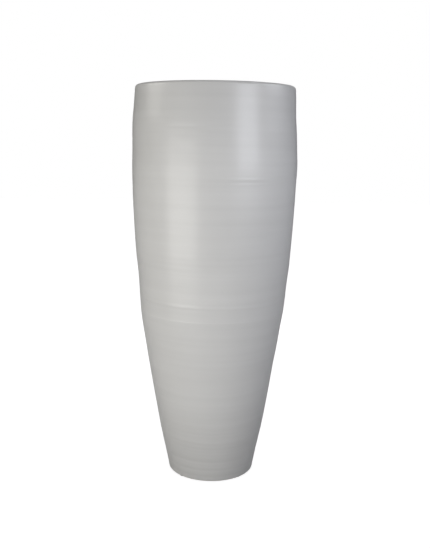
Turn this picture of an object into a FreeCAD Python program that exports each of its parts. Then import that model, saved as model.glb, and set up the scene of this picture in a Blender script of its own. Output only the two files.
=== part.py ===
import FreeCAD, Part
import os

import Sketcher

# A tall floor vase, thrown on the wheel as three rings of clay that are stacked and luted together.
# Each ring ends in a V groove that takes the V tongue of the ring above, with a layer of slip between.
# A coil of clay is pressed over each seam on the inside, and felt pads stand under the turned foot.
# Origin: centre of the foot, on the floor. Z up, millimetres.

SIZES = {
    # Felt pads under the foot ring
    "pad_radius": 6,
    "pad_thickness": 2,
    "pad_count": 4,
    # Heights of the three thrown rings
    "base_height": 349,
    "middle_height": 264,
    "top_height": 183,
    # Outer radii at the foot and at the two joints, and how far the rim is drawn in from the upper one
    "foot_radius": 89.5,
    "lower_joint_radius": 148.4,
    "upper_joint_radius": 165.8,
    "rim_draw_in": 7,
    # How far each ring's wall bows outwards from a straight cone, half way up
    "base_belly": 2.9,
    "middle_belly": 2.5,
    "top_belly": 2.1,
    # Wall thicknesses, taken level
    "foot_wall": 13,
    "lower_joint_wall": 10.5,
    "upper_joint_wall": 9.5,
    "rim_wall": 11,
    # Bottom of the vase
    "bottom_thickness": 12,
    "bottom_corner_round": 14,
    "foot_ring_width": 18,
    "foot_recess_depth": 4,
    "foot_outer_round": 3,
    "foot_inner_round": 1.5,
    # Rounding of the lip's outside and inside, as shares of the rim wall
    "lip_outer_share": 0.6,
    "lip_inner_share": 0.32,
    # Joints
    "joint_depth": 5,
    "slip_thickness": 1,
    # Coils pressed over the seams inside
    "coil_height": 28,
    "coil_thickness": 5,
    "coil_clearance": 0.1,
}

ROUNDING = 1e-6
HALF_TURN = 180
FULL_TURN = 360


def make_sheet(doc):
    """Write the driving sizes into a spreadsheet, one named cell each."""
    sheet = doc.addObject("Spreadsheet::Sheet", "Sizes")
    for row, (name, number) in enumerate(SIZES.items(), start=1):
        sheet.set(f"A{row}", name)
        sheet.set(f"B{row}", str(number))
        sheet.setAlias(f"B{row}", name)
    doc.recompute()
    return sheet


def size(name):
    """An expression that reads one named size."""
    return f"Sizes.{name}"


def value(doc, expression):
    """The number that an expression gives now."""
    return float(doc.getObject("Sizes").evalExpression(expression))


def origin_part(body, role):
    """A plane or axis of a body's own origin."""
    return [feature for feature in body.Origin.OriginFeatures if feature.Role == role][0]


def make_body(doc, name, height=None):
    """A new body with its label, lifted to a height above the floor."""
    body = doc.addObject("PartDesign::Body", name)
    body.Label = name
    if height is not None:
        body.setExpression("Placement.Base.z", height)
    return body


def attach(body, name, role):
    """A new sketch on one of the body's own origin planes."""
    sketch = body.newObject("Sketcher::SketchObject", name)
    sketch.AttachmentSupport = [(origin_part(body, role), "")]
    sketch.MapMode = "FlatFace"
    return sketch


def tie(sketch, name, expression, kind, *where):
    """Measure something in a sketch and tie the measure to an expression."""
    now = value(sketch.Document, expression)
    index = sketch.addConstraint(Sketcher.Constraint(kind, *where, now))
    sketch.renameConstraint(index, name)
    sketch.setExpression(f"Constraints.{name}", expression)


def draw_circle(sketch, radius, offset):
    """A circle whose centre lies at an offset along X from the sketch's origin."""
    doc = sketch.Document
    centre = FreeCAD.Vector(value(doc, offset), 0, 0)
    up = FreeCAD.Vector(0, 0, 1)
    circle = sketch.addGeometry(Part.Circle(centre, up, value(doc, radius)))
    sketch.addConstraint(Sketcher.Constraint("PointOnObject", circle, 3, -1))
    if offset == "0":
        sketch.addConstraint(Sketcher.Constraint("PointOnObject", circle, 3, -2))
    else:
        tie(sketch, "offset", offset, "DistanceX", -1, 1, circle, 3)
    tie(sketch, "radius", radius, "Radius", circle)


def left_turning_arc(start, middle, end):
    """An arc through three points that always turns left, as a sketch keeps its arcs."""
    turn = (middle - start).cross(end - middle).z
    return Part.Arc(start, middle, end) if turn > 0 else Part.Arc(end, middle, start)


class Outline:
    """A half section drawn upright, radius to the right and height upwards, tied to the sheet."""

    def __init__(self, body, name):
        self.doc = body.Document
        self.sketch = attach(body, name, "XZ_Plane")

    def place(self, corner):
        """The point that a corner's two expressions give now."""
        return FreeCAD.Vector(value(self.doc, corner[0]), value(self.doc, corner[1]), 0)

    def pin_value(self, kind, item, end, name, expression):
        """Hold one coordinate of a point at an expression."""
        if expression == "0":
            axis = -2 if kind == "DistanceX" else -1
            self.sketch.addConstraint(Sketcher.Constraint("PointOnObject", item, end, axis))
        else:
            tie(self.sketch, name, expression, kind, -1, 1, item, end)

    def pin(self, item, end, name, corner):
        """Hold a point at a corner's radius and height."""
        self.pin_value("DistanceX", item, end, f"{name}_radius", corner[0])
        self.pin_value("DistanceY", item, end, f"{name}_height", corner[1])

    def draw(self, corners, bows):
        """Join the named corners in order, with an arc through a third point where a side bows."""
        names = list(corners)
        first = self.sketch.GeometryCount
        for name, following in zip(names, names[1:] + names[:1]):
            start = self.place(corners[name])
            end = self.place(corners[following])
            if name in bows:
                edge = left_turning_arc(start, self.place(bows[name]), end)
            else:
                edge = Part.LineSegment(start, end)
            self.sketch.addGeometry(edge, False)
        self.hold(names, corners, first)
        self.bow(names, bows, first)

    def edge_end(self, index, point):
        """Which end of a drawn edge lies at a point: an arc may have been turned round."""
        geometry = self.sketch.Geometry[index]
        starts_here = geometry.StartPoint.distanceToPoint(point) < geometry.EndPoint.distanceToPoint(point)
        return 1 if starts_here else 2

    def hold(self, names, corners, first):
        """Close the outline and hold each corner."""
        for step, name in enumerate(names):
            point = self.place(corners[name])
            item = first + step
            before = first + (step - 1) % len(names)
            end = self.edge_end(item, point)
            end_before = self.edge_end(before, point)
            self.sketch.addConstraint(Sketcher.Constraint("Coincident", before, end_before, item, end))
            self.pin(item, end, name, corners[name])

    def bow(self, names, bows, first):
        """Make each bowed side pass through its third point."""
        for name, corner in bows.items():
            point = self.sketch.addGeometry(Part.Point(self.place(corner)), True)
            self.pin(point, 1, f"{name}_bow", corner)
            arc = first + names.index(name)
            self.sketch.addConstraint(Sketcher.Constraint("PointOnObject", point, 1, arc))


def revolve(body, sketch, name):
    """Turn an outline all the way round the upright axis."""
    turned = body.newObject("PartDesign::Revolution", name)
    turned.Profile = sketch
    turned.ReferenceAxis = (sketch, ["V_Axis"])
    turned.Angle = FULL_TURN
    body.Tip = turned
    body.Document.recompute()
    return turned


def ring_edge(shape, radius, height):
    """The name of the round edge with a given radius and height."""
    for number, edge in enumerate(shape.Edges, start=1):
        curve = edge.Curve
        if not isinstance(curve, Part.Circle):
            continue
        if abs(curve.Radius - radius) < ROUNDING and abs(curve.Center.z - height) < ROUNDING:
            return f"Edge{number}"
    raise ValueError(f"no round edge of radius {radius} at height {height}")


def round_edge(body, name, radius, height, rounding):
    """Round the edge at a radius and height given as expressions."""
    doc = body.Document
    base = body.Tip
    edge = ring_edge(base.Shape, value(doc, radius), value(doc, height))
    fillet = body.newObject("PartDesign::Fillet", name)
    fillet.Base = (base, [edge])
    fillet.Radius = value(doc, rounding)
    fillet.setExpression("Radius", rounding)
    body.Tip = fillet
    doc.recompute()


def halfway(first, second, belly):
    """The expression half way between two radii, bowed outwards."""
    return f"({first} + {second}) / 2 + {belly}"


def inner(radius, wall):
    """The expression of the inner radius behind an outer one."""
    return f"({radius} - {wall})"


def bowed_radius(near, far, belly, height, rise):
    """The expression of a bowed wall's radius at a rise from its near end."""
    share = f"({rise} / {height})"
    return f"{near} + ({far} - {near}) * {share} + 4 * {belly} * {share} * (1 - {share})"


# Places that several pieces share, each as an expression of the named sizes

LOWER_RADIUS = size("lower_joint_radius")
LOWER_WALL = size("lower_joint_wall")
UPPER_RADIUS = size("upper_joint_radius")
UPPER_WALL = size("upper_joint_wall")
INNER_FOOT = inner(size("foot_radius"), size("foot_wall"))
INNER_LOWER = inner(LOWER_RADIUS, LOWER_WALL)
INNER_UPPER = inner(UPPER_RADIUS, UPPER_WALL)
RIM_RADIUS = f"({UPPER_RADIUS} - {size('rim_draw_in')})"
INNER_RIM = inner(RIM_RADIUS, size("rim_wall"))
BOTTOM_TOP = f"({size('foot_recess_depth')} + {size('bottom_thickness')})"
INNER_BASE_HEIGHT = f"({size('base_height')} - {BOTTOM_TOP})"

LOWER_SEAM = f"{size('pad_thickness')} + {size('base_height')}"
MIDDLE_FOOT = f"{LOWER_SEAM} + {size('slip_thickness')}"
UPPER_SEAM = f"{MIDDLE_FOOT} + {size('middle_height')}"
TOP_FOOT = f"{UPPER_SEAM} + {size('slip_thickness')}"


def make_floor_pads(doc):
    """Felt discs, evenly spaced under the foot ring and between the front and the sides."""
    body = make_body(doc, "floor_pads")
    body.setExpression("Placement.Rotation.Angle", f"{HALF_TURN} deg / {size('pad_count')}")
    sketch = attach(body, "pad_circle", "XY_Plane")
    ring_middle = f"{size('foot_radius')} - {size('foot_ring_width')} / 2"
    draw_circle(sketch, size("pad_radius"), ring_middle)
    pad = body.newObject("PartDesign::Pad", "felt_pad")
    pad.Profile = sketch
    pad.setExpression("Length", size("pad_thickness"))
    doc.recompute()
    pattern = body.newObject("PartDesign::PolarPattern", "pads_round_foot")
    pattern.Originals = [pad]
    pattern.Axis = (origin_part(body, "Z_Axis"), [""])
    pattern.Angle = FULL_TURN
    pattern.setExpression("Occurrences", size("pad_count"))
    body.Tip = pattern
    doc.recompute()
    return body


def cut_foot_recess(body):
    """Hollow the underside inside the foot ring, as a potter turns it."""
    recess_radius = f"{size('foot_radius')} - {size('foot_ring_width')}"
    sketch = attach(body, "foot_recess_circle", "XY_Plane")
    draw_circle(sketch, recess_radius, "0")
    before = body.Tip.Shape.Volume
    recess = body.newObject("PartDesign::Pocket", "foot_recess")
    recess.Profile = sketch
    recess.Reversed = True
    recess.setExpression("Length", size("foot_recess_depth"))
    body.Tip = recess
    body.Document.recompute()
    if recess.Shape.Volume >= before:
        raise ValueError("the foot recess cuts nothing")
    round_edge(body, "foot_inner_rounding", recess_radius, "0", size("foot_inner_round"))


def make_base_section(doc):
    """The lowest thrown ring: the bottom, the foot ring and the wall up to the first V groove."""
    body = make_body(doc, "base_section", size("pad_thickness"))
    outline = Outline(body, "base_outline")
    height = size("base_height")
    corners = {
        "bottom_centre": ("0", "0"),
        "foot_edge": (size("foot_radius"), "0"),
        "outer_top": (LOWER_RADIUS, height),
        "groove_bottom": (f"{LOWER_RADIUS} - {LOWER_WALL} / 2", f"{height} - {size('joint_depth')}"),
        "inner_top": (INNER_LOWER, height),
        "inner_corner": (INNER_FOOT, BOTTOM_TOP),
        "inner_centre": ("0", BOTTOM_TOP),
    }
    belly = size("base_belly")
    bows = {
        "foot_edge": (halfway(size("foot_radius"), LOWER_RADIUS, belly), f"{height} / 2"),
        "inner_top": (halfway(INNER_FOOT, INNER_LOWER, belly), f"({height} + {BOTTOM_TOP}) / 2"),
    }
    outline.draw(corners, bows)
    revolve(body, outline.sketch, "base_turned")
    round_edge(body, "foot_outer_rounding", size("foot_radius"), "0", size("foot_outer_round"))
    round_edge(body, "bottom_corner_rounding", INNER_FOOT, BOTTOM_TOP, size("bottom_corner_round"))
    cut_foot_recess(body)
    return body


def make_middle_section(doc):
    """The middle thrown ring, with a V tongue below and a V groove above."""
    body = make_body(doc, "middle_section", MIDDLE_FOOT)
    outline = Outline(body, "middle_outline")
    height = size("middle_height")
    corners = {
        "tongue_tip": (f"{LOWER_RADIUS} - {LOWER_WALL} / 2", f"-{size('joint_depth')}"),
        "outer_bottom": (LOWER_RADIUS, "0"),
        "outer_top": (UPPER_RADIUS, height),
        "groove_bottom": (f"{UPPER_RADIUS} - {UPPER_WALL} / 2", f"{height} - {size('joint_depth')}"),
        "inner_top": (INNER_UPPER, height),
        "inner_bottom": (INNER_LOWER, "0"),
    }
    belly = size("middle_belly")
    bows = {
        "outer_bottom": (halfway(LOWER_RADIUS, UPPER_RADIUS, belly), f"{height} / 2"),
        "inner_top": (halfway(INNER_LOWER, INNER_UPPER, belly), f"{height} / 2"),
    }
    outline.draw(corners, bows)
    revolve(body, outline.sketch, "middle_turned")
    return body


def make_top_section(doc):
    """The top thrown ring, with a V tongue below and the rounded lip above."""
    body = make_body(doc, "top_section", TOP_FOOT)
    outline = Outline(body, "top_outline")
    height = size("top_height")
    corners = {
        "tongue_tip": (f"{UPPER_RADIUS} - {UPPER_WALL} / 2", f"-{size('joint_depth')}"),
        "outer_bottom": (UPPER_RADIUS, "0"),
        "lip_outside": (RIM_RADIUS, height),
        "lip_inside": (INNER_RIM, height),
        "inner_bottom": (INNER_UPPER, "0"),
    }
    belly = size("top_belly")
    bows = {
        "outer_bottom": (halfway(UPPER_RADIUS, RIM_RADIUS, belly), f"{height} / 2"),
        "lip_inside": (halfway(INNER_UPPER, INNER_RIM, belly), f"{height} / 2"),
    }
    outline.draw(corners, bows)
    revolve(body, outline.sketch, "top_turned")
    outer_rounding = f"{size('rim_wall')} * {size('lip_outer_share')}"
    inner_rounding = f"{size('rim_wall')} * {size('lip_inner_share')}"
    round_edge(body, "lip_outer_rounding", RIM_RADIUS, height, outer_rounding)
    round_edge(body, "lip_inner_rounding", INNER_RIM, height, inner_rounding)
    return body


def make_joint_slip(doc, name, radius, wall, seam):
    """The thin V-shaped layer of slip that glues a tongue into its groove."""
    body = make_body(doc, name, seam)
    outline = Outline(body, f"{name}_outline")
    depth = size("joint_depth")
    thickness = size("slip_thickness")
    corners = {
        "groove_outside": (radius, "0"),
        "tongue_outside": (radius, thickness),
        "tongue_tip": (f"{radius} - {wall} / 2", f"{thickness} - {depth}"),
        "tongue_inside": (inner(radius, wall), thickness),
        "groove_inside": (inner(radius, wall), "0"),
        "groove_bottom": (f"{radius} - {wall} / 2", f"-{depth}"),
    }
    outline.draw(corners, {})
    revolve(body, outline.sketch, f"{name}_turned")
    return body


def make_seam_coil(doc, name, seam, below, at_seam, above):
    """A coil pressed over a seam: its back follows both walls, and its face bulges inwards."""
    body = make_body(doc, name, f"{seam} + {size('slip_thickness')} / 2")
    outline = Outline(body, f"{name}_outline")
    half = f"({size('coil_height')} / 2)"
    clearance = size("coil_clearance")
    corners = {
        "back_bottom": (f"{below} - {clearance}", f"-{half}"),
        "back_middle": (f"{at_seam} - {clearance}", "0"),
        "back_top": (f"{above} - {clearance}", half),
    }
    bows = {"back_top": (f"{at_seam} - {clearance} - {size('coil_thickness')}", "0")}
    outline.draw(corners, bows)
    revolve(body, outline.sketch, f"{name}_turned")
    return body


def make_seam_coils(doc):
    """The two coils, each fitted to the walls on both sides of its seam."""
    reach = f"({size('coil_height')} / 2 - {size('slip_thickness')} / 2)"
    below = bowed_radius(INNER_LOWER, INNER_FOOT, size("base_belly"), INNER_BASE_HEIGHT, reach)
    above = bowed_radius(INNER_LOWER, INNER_UPPER, size("middle_belly"), size("middle_height"), reach)
    lower = make_seam_coil(doc, "lower_seam_coil", LOWER_SEAM, below, INNER_LOWER, above)
    below = bowed_radius(INNER_UPPER, INNER_LOWER, size("middle_belly"), size("middle_height"), reach)
    above = bowed_radius(INNER_UPPER, INNER_RIM, size("top_belly"), size("top_height"), reach)
    upper = make_seam_coil(doc, "upper_seam_coil", UPPER_SEAM, below, INNER_UPPER, above)
    return [lower, upper]


def check(doc, parts):
    """Stop if any object failed or any piece has no sound shape."""
    for item in doc.Objects:
        if "Invalid" in item.State or "Error" in item.State:
            raise ValueError(f"{item.Name} failed: {item.State}")
    for part in parts:
        if part.Shape.isNull() or not part.Shape.isValid():
            raise ValueError(f"{part.Label} has no sound shape")


def main():
    """Build every piece, check it and write it to its own file."""
    doc = FreeCAD.newDocument("floor_vase")
    make_sheet(doc)
    parts = [
        make_floor_pads(doc),
        make_base_section(doc),
        make_joint_slip(doc, "lower_joint_slip", LOWER_RADIUS, LOWER_WALL, LOWER_SEAM),
        make_middle_section(doc),
        make_joint_slip(doc, "upper_joint_slip", UPPER_RADIUS, UPPER_WALL, UPPER_SEAM),
        make_top_section(doc),
    ]
    parts += make_seam_coils(doc)
    doc.recompute()
    check(doc, parts)
    os.makedirs("parts", exist_ok=True)
    for part in parts:
        part.Shape.exportStep(f"parts/{part.Label}.step")
        box = part.Shape.BoundBox
        print(part.Label, len(part.Shape.Solids), "solids, volume", round(part.Shape.Volume),
              "height", round(box.ZMin, 3), round(box.ZMax, 3), "width", round(box.XLength, 3))


main()
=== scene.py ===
"""A tall thrown floor vase with a satin glaze, standing in a plain white studio.

Metres, with the origin on the floor under the middle of the foot and Z up. The front is -Y, and an azimuth
is measured in degrees from the front towards the right, which is +X.
"""

from __future__ import annotations

import logging
import math
import random
from abc import ABC, abstractmethod
from collections.abc import Callable, Iterable, Iterator
from contextlib import contextmanager
from dataclasses import dataclass, field
from enum import Enum

import bmesh
import bpy
from mathutils import Matrix, Vector


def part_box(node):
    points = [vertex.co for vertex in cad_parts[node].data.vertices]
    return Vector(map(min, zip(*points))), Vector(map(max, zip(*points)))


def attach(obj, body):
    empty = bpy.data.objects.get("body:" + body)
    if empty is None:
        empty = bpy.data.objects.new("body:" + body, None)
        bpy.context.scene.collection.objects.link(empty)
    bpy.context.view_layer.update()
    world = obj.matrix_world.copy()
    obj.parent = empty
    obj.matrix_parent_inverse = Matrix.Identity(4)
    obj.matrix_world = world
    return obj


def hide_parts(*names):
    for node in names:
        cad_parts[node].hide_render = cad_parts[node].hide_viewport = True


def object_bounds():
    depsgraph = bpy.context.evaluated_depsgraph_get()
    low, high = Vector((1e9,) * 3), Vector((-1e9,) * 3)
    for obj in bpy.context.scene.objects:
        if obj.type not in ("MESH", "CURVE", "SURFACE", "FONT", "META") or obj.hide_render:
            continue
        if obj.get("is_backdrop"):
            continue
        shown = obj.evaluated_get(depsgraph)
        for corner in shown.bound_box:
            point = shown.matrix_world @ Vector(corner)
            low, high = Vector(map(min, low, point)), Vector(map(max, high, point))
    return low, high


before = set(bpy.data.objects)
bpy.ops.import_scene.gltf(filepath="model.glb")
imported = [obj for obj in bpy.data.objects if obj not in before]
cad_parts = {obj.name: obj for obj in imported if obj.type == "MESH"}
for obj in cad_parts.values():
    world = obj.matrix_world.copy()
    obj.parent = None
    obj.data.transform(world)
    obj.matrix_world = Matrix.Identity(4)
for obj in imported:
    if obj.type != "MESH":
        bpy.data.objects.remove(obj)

LOG = logging.getLogger("floor_vase")

MM = 0.001
TURN_STEPS = 192
WELD = 0.005 * MM
CREASE = 34.0
TIGHT_CREASE = 50.0

Point = tuple[float, float]
Span = tuple[float, float]
Colour = tuple[float, float, float]

WHITE: Colour = (1.0, 1.0, 1.0)
BLACK: Colour = (0.0, 0.0, 0.0)
RISING: Span = (0.0, 1.0)
FALLING: Span = (1.0, 0.0)
NOISE_SPAN: Span = (0.3, 0.7)
BROAD_LINE_SHARE = 0.6
MARK_END = 4.0


class Slot(Enum):
    """The names of the material slots."""

    GLAZE = "glazed_stoneware"
    SLIP = "fired_slip"
    FELT = "grey_felt"


class Side(Enum):
    """Which face of the wall a vertex belongs to."""

    OUTSIDE = 1
    INSIDE = -1


# Forms


def turn_between(start: float, end: float) -> float:
    """The shorter way round from one azimuth to another, in degrees."""
    return (end - start + 180) % 360 - 180


def fade_round(turn: float, reach: float) -> float:
    """A share that falls softly from one to nothing as a turn comes up to its reach."""
    return 0.5 + 0.5 * math.cos(math.pi * turn / reach) if abs(turn) < reach else 0.0


def hump(away: float) -> float:
    """A soft hump, one high, by the distance from its middle in spreads."""
    return math.exp(-0.5 * away * away)


@dataclass(frozen=True)
class WallArc:
    """One face of a thrown wall, bowed a little outwards between its lower and upper edge."""

    low: Point
    high: Point
    belly: float

    def radius(self, height: float) -> float:
        """The radius of the face at a height.

        Args:
            height: The height, in metres.

        Returns:
            The radius.
        """
        share = (height - self.low[1]) / (self.high[1] - self.low[1])
        straight = self.low[0] + (self.high[0] - self.low[0]) * share
        return straight + 4 * self.belly * share * (1 - share)

    def lean(self, height: float) -> float:
        """The angle by which the face leans outwards at a height, in radians.

        Args:
            height: The height, in metres.

        Returns:
            The angle.
        """
        share = (height - self.low[1]) / (self.high[1] - self.low[1])
        gain = self.high[0] - self.low[0] + 4 * self.belly * (1 - 2 * share)
        return math.atan(gain / (self.high[1] - self.low[1]))

    def points(self, start: float, end: float, step: float) -> list[Point]:
        """Evenly spaced points of the face.

        Args:
            start: The first height.
            end: The last height.
            step: The widest spacing that is allowed.

        Returns:
            The points, both ends among them.
        """
        count = max(1, math.ceil(abs(end - start) / step))
        heights = [start + (end - start) * row / count for row in range(count + 1)]
        return [(self.radius(height), height) for height in heights]


@dataclass(frozen=True)
class Joint:
    """Where one thrown ring stands on the next: a V groove, a layer of slip and a V tongue."""

    below: str
    slip: str
    wall: float

    @property
    def seam(self) -> float:
        """The height of the lower ring's edge."""
        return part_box(self.below)[1].z

    @property
    def foot(self) -> float:
        """The height of the upper ring's edge, above the slip."""
        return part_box(self.slip)[1].z

    @property
    def depth(self) -> float:
        """How deep the V reaches."""
        return self.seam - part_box(self.slip)[0].z

    @property
    def radius(self) -> float:
        """The outer radius at the joint."""
        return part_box(self.slip)[1].x

    @property
    def inner(self) -> float:
        """The inner radius at the joint."""
        return self.radius - self.wall

    @property
    def middle(self) -> Point:
        """The radii of the middle half of the wall, where the tip of the V lies."""
        quarter = self.wall / 4
        return self.inner + quarter, self.radius - quarter


@dataclass(frozen=True)
class Mark:
    """A ring, swell or groove that the potter's hands left in the wall.

    It is a soft ridge across the wall. A negative rise is a groove. It may reach round only a part of the
    vase, and it may sink a little towards the right, as a spiral does.
    """

    height: float
    rise: float
    spread: float = 3.0 * MM
    azimuth: float = 0.0
    reach: float = 180.0
    sink: float = 0.0

    def lift(self, height: float, azimuth: float) -> float:
        """How far the mark lifts the wall at a place.

        Args:
            height: The height, in metres.
            azimuth: The azimuth, in degrees.

        Returns:
            The lift, in metres.
        """
        turn = turn_between(self.azimuth, azimuth)
        away = (height - self.height + self.sink * turn / 360) / self.spread
        if abs(away) > MARK_END:
            return 0.0
        fade = 1.0 if self.reach >= 180 else fade_round(turn, self.reach)
        return self.rise * fade * hump(away)


@dataclass(frozen=True)
class Spiral:
    """The even spiral that rising fingers leave, between two heights."""

    pitch: float
    rise: float
    low: float
    high: float
    run_out: float

    def lift(self, height: float, azimuth: float) -> float:
        """How far the spiral lifts the wall at a place.

        Args:
            height: The height, in metres.
            azimuth: The azimuth, in degrees.

        Returns:
            The lift, in metres.
        """
        into = min(height - self.low, self.high - height) / self.run_out
        if into <= 0:
            return 0.0
        turn = height / self.pitch + azimuth / 360
        return self.rise * min(1.0, into) * math.cos(2 * math.pi * turn)


# The rings that show on the outside, from the lip down to the foot

OUTER_MARKS = [
    Mark(742 * MM, -0.17 * MM, 2.2 * MM, azimuth=-20, reach=50),
    Mark(718 * MM, -0.28 * MM, 2.4 * MM, azimuth=-15, reach=80),
    Mark(694 * MM, 0.40 * MM, 6.0 * MM, azimuth=-20, reach=50),
    Mark(629 * MM, -0.14 * MM, 1.8 * MM, azimuth=24, reach=60),
    Mark(624 * MM, 0.12 * MM, 1.8 * MM, azimuth=24, reach=60),
    Mark(618 * MM, -0.18 * MM, 1.8 * MM, azimuth=24, reach=90),
    Mark(600 * MM, -0.08 * MM, 2.6 * MM, azimuth=20, reach=60),
    Mark(551 * MM, 0.08 * MM, 2.6 * MM, azimuth=-5, reach=90),
    Mark(540 * MM, -0.08 * MM, 2.6 * MM, azimuth=-20, reach=60),
    Mark(532 * MM, 0.06 * MM, 2.6 * MM, azimuth=30, reach=50),
    Mark(508 * MM, -0.10 * MM, 3.0 * MM, azimuth=10, reach=80),
    Mark(490 * MM, 0.07 * MM, 2.6 * MM, azimuth=-20, reach=60),
    Mark(476 * MM, 0.28 * MM, 4.0 * MM, azimuth=-20, reach=60),
    Mark(461 * MM, -0.10 * MM, 2.6 * MM, azimuth=-10, reach=90),
    Mark(449 * MM, -0.07 * MM, 2.6 * MM, azimuth=-20, reach=60),
    Mark(440 * MM, -0.09 * MM, 2.4 * MM, azimuth=-20, reach=50),
    Mark(386 * MM, -0.12 * MM, 1.8 * MM, reach=179, sink=8 * MM),
    Mark(380 * MM, 0.30 * MM, 1.9 * MM, reach=179, sink=8 * MM),
    Mark(355 * MM, -0.03 * MM, 2.0 * MM, reach=179, sink=8 * MM),
    Mark(350 * MM, 0.12 * MM, 2.2 * MM, reach=179, sink=8 * MM),
    Mark(321 * MM, 0.08 * MM, 2.6 * MM, azimuth=50, reach=70),
    Mark(314 * MM, -0.12 * MM, 2.6 * MM, azimuth=-40, reach=90),
    Mark(276 * MM, -0.10 * MM, 3.0 * MM, azimuth=45, reach=60),
    Mark(239 * MM, -0.22 * MM, 2.6 * MM, azimuth=66, reach=40),
    Mark(226 * MM, 0.12 * MM, 2.6 * MM, azimuth=40, reach=80),
    Mark(126 * MM, 0.20 * MM, 3.0 * MM, reach=150),
    Mark(110 * MM, -0.20 * MM, 2.6 * MM, azimuth=-5, reach=60),
    Mark(93 * MM, 0.32 * MM, 2.6 * MM, reach=179, sink=4 * MM),
    Mark(76 * MM, -0.26 * MM, 2.4 * MM, reach=179, sink=4 * MM),
    Mark(47 * MM, -0.46 * MM, 3.2 * MM, reach=179, sink=3 * MM),
    Mark(38 * MM, -0.14 * MM, 2.0 * MM, reach=179, sink=3 * MM),
    Mark(27 * MM, -0.28 * MM, 2.0 * MM, reach=179, sink=3 * MM),
    Mark(13 * MM, -0.24 * MM, 1.6 * MM, reach=179, sink=3 * MM),
]

TURNED_LINES = [
    Spiral(pitch=8.2 * MM, rise=0.04 * MM, low=12 * MM, high=190 * MM, run_out=60 * MM),
    Spiral(pitch=13.7 * MM, rise=0.03 * MM, low=120 * MM, high=780 * MM, run_out=50 * MM),
]

OUTSIDE_RELIEF = [*OUTER_MARKS, *TURNED_LINES]

# How far the whole wall swells or draws in, and how far its middle wanders sideways

SWELLS = [
    Mark(752 * MM, -0.6 * MM, 14 * MM),
    Mark(718 * MM, 0.3 * MM, 12 * MM),
    Mark(643 * MM, 0.8 * MM, 13 * MM),
    Mark(608 * MM, -0.3 * MM, 14 * MM),
    Mark(412 * MM, -1.3 * MM, 22 * MM),
    Mark(335 * MM, 0.5 * MM, 16 * MM),
    Mark(225 * MM, -0.75 * MM, 30 * MM),
    Mark(100 * MM, 0.7 * MM, 24 * MM),
    Mark(30 * MM, -0.9 * MM, 22 * MM),
]

WANDERS = [
    Mark(735 * MM, -1.2 * MM, 20 * MM),
    Mark(648 * MM, 0.7 * MM, 22 * MM),
    Mark(435 * MM, 0.7 * MM, 18 * MM),
    Mark(318 * MM, -1.2 * MM, 28 * MM),
    Mark(235 * MM, -1.1 * MM, 32 * MM),
    Mark(172 * MM, -0.3 * MM, 20 * MM),
    Mark(8 * MM, 0.5 * MM, 20 * MM),
]


# Mesh work


def all_lifts(marks: Iterable[Mark | Spiral], height: float, azimuth: float) -> float:
    """The sum of what several marks do at a place."""
    return sum(mark.lift(height, azimuth) for mark in marks)


def azimuth_of(place: Vector) -> float:
    """The azimuth of a place, in degrees from the front towards the right."""
    return math.degrees(math.atan2(place.x, -place.y))


def across(place: Vector) -> float:
    """How far a place lies from the upright axis."""
    return math.hypot(place.x, place.y)


def rippled_disc(radius: float, step: float, height_at: Callable[[float], float]) -> list[Point]:
    """Points of a disc in the half section, from the axis to just short of its edge.

    Args:
        radius: The disc's radius.
        step: About how far the points lie apart.
        height_at: The height at a radius.

    Returns:
        The points, evenly spaced.
    """
    count = round(radius / step)
    radii = [radius * number / count for number in range(count)]
    return [(each, height_at(each)) for each in radii]


def rim_round(centre: Point, radius: float, start: float, end: float, steps: int) -> list[Point]:
    """Points of an arc in the half section.

    Args:
        centre: The arc's centre, as radius and height.
        radius: The arc's own radius.
        start: The first angle in degrees, 0 outwards and 90 up.
        end: The last angle in degrees.
        steps: The number of steps.

    Returns:
        The arc's points, both ends among them.
    """
    angles = [math.radians(start + (end - start) * step / steps) for step in range(steps + 1)]
    return [(centre[0] + radius * math.cos(a), centre[1] + radius * math.sin(a)) for a in angles]


class Wheel:
    """Draws half sections and turns them round the upright axis, as a potter's wheel does."""

    def __init__(self, name: str) -> None:
        """Name the piece that will be thrown."""
        self.name = name
        self.piece: bpy.types.Object | None = None

    def start(self, place: Point) -> None:
        """Put one vertex at a place of the half section, ready to be drawn out.

        Args:
            place: The place, as radius and height.
        """
        spot = (place[0], 0.0, place[1])
        if self.piece is None:
            bpy.ops.object.select_all(action="DESELECT")
            bpy.ops.mesh.primitive_plane_add(size=MM, location=spot)
            self.piece = bpy.context.object
            self.piece.name = self.name
            bpy.ops.object.transform_apply(location=True, rotation=True, scale=True)
            bpy.ops.object.mode_set(mode="EDIT")
            bpy.ops.mesh.select_mode(type="VERT")
            bpy.ops.mesh.select_all(action="SELECT")
        else:
            bpy.ops.mesh.select_all(action="DESELECT")
            bpy.ops.mesh.primitive_plane_add(size=MM, location=spot)
        bpy.ops.mesh.merge(type="CENTER")

    def draw(self, outline: list[Point]) -> None:
        """Draw one run of the half section, from point to point.

        Args:
            outline: The points, as radius and height.
        """
        self.start(outline[0])
        for before, after in zip(outline, outline[1:]):
            step = (after[0] - before[0], 0.0, after[1] - before[1])
            bpy.ops.mesh.extrude_region_move(TRANSFORM_OT_translate={"value": step})

    def turn(self) -> bpy.types.Object:
        """Spin what is drawn all the way round and weld it.

        Returns:
            The piece, in object mode, with its faces turned outwards.
        """
        bpy.ops.mesh.select_all(action="SELECT")
        bpy.ops.mesh.spin(steps=TURN_STEPS, angle=2 * math.pi, center=(0, 0, 0), axis=(0, 0, 1))
        bpy.ops.mesh.select_all(action="SELECT")
        bpy.ops.mesh.remove_doubles(threshold=WELD)
        bpy.ops.mesh.normals_make_consistent(inside=False)
        bpy.ops.object.mode_set(mode="OBJECT")
        return self.piece


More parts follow.
